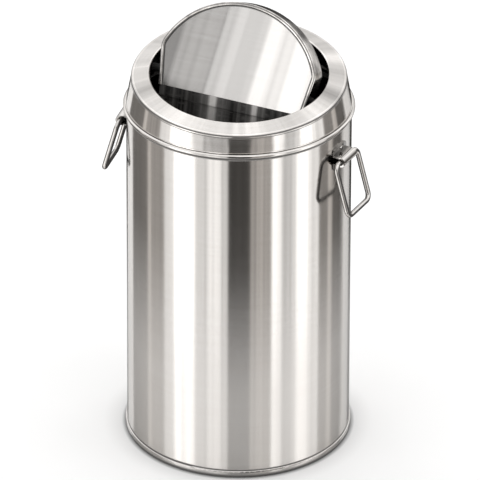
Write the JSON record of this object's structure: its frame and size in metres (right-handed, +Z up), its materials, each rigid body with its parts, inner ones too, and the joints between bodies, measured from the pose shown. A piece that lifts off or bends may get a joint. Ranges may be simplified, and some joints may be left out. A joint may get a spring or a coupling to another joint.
{
  "type": "swing lid waste bin",
  "caption": "Round brushed-steel countertop waste bin with a lift-off slanted lid, a swinging counterweighted flap in its round opening, and wire bail handles on the sides.",
  "frame": {"origin": "centre of the foot, on the surface the bin stands on", "axes": "+Z up; the two handles are mirror images at +X and -X; -Y is the front, to which the lid is low"},
  "size_m": [0.17, 0.1418, 0.2868],
  "materials": {
    "body_steel": "fine horizontal brushing, satin",
    "collar_steel": "fine horizontal brushing, satin",
    "ring_steel": "fine circular brushing, satin",
    "wire_steel": "drawn wire and rolled edges, semi-bright",
    "strap_steel": "pressed strip, satin",
    "flap_steel": "fine straight brushing along the hinge, satin",
    "flap_band_steel": "brushed along its length, satin",
    "inner_steel": "mill finish",
    "pin_steel": "turned, mill finish",
    "bush_plastic": "matt black"
  },
  "bodies": {
    "body": {"body_shell": "body_steel", "body_rim": "wire_steel", "base_pan": "inner_steel", "base_hem": "wire_steel", "handle_strap_right": "strap_steel", "handle_strap_left": "strap_steel", "strap_rivets": "wire_steel"},
    "lid": {"lid_skirt": "inner_steel", "lid_collar": "collar_steel", "lid_ring": "ring_steel", "pivot_bracket_right": "inner_steel", "pivot_bracket_left": "inner_steel", "pivot_bush_right": "bush_plastic", "pivot_bush_left": "bush_plastic", "pivot_pin_right": "pin_steel", "pivot_pin_left": "pin_steel"},
    "flap": {"flap_plate": "flap_steel", "flap_rim_band": "flap_band_steel", "flap_front_plate": "flap_steel", "flap_ear_right": "inner_steel", "flap_ear_left": "inner_steel", "flap_counterweight": "pin_steel"},
    "right_bail": {"handle_bail_right": "wire_steel"},
    "left_bail": {"handle_bail_left": "wire_steel"}
  },
  "joints": [
    {"name": "lid_lift", "type": "slide", "parent": "body", "child": "lid", "axis": [0, 0, 1], "range_m": [0, 0.06]},
    {"name": "flap_swing", "type": "hinge", "parent": "lid", "child": "flap", "pos_m": [-0.00045, 0.00112, 0.23577], "axis": [0.9991, 0.0046, -0.0428], "range_deg": [-138, 22]},
    {"name": "right_bail_swing", "type": "hinge", "parent": "body", "child": "right_bail", "pos_m": [0.07304, -0.00768, 0.206], "axis": [-0.1045, -0.9945, 0], "range_deg": [-18, 164]},
    {"name": "left_bail_swing", "type": "hinge", "parent": "body", "child": "left_bail", "pos_m": [-0.07304, -0.00768, 0.206], "axis": [-0.1045, 0.9945, 0], "range_deg": [-18, 164]}
  ]
}
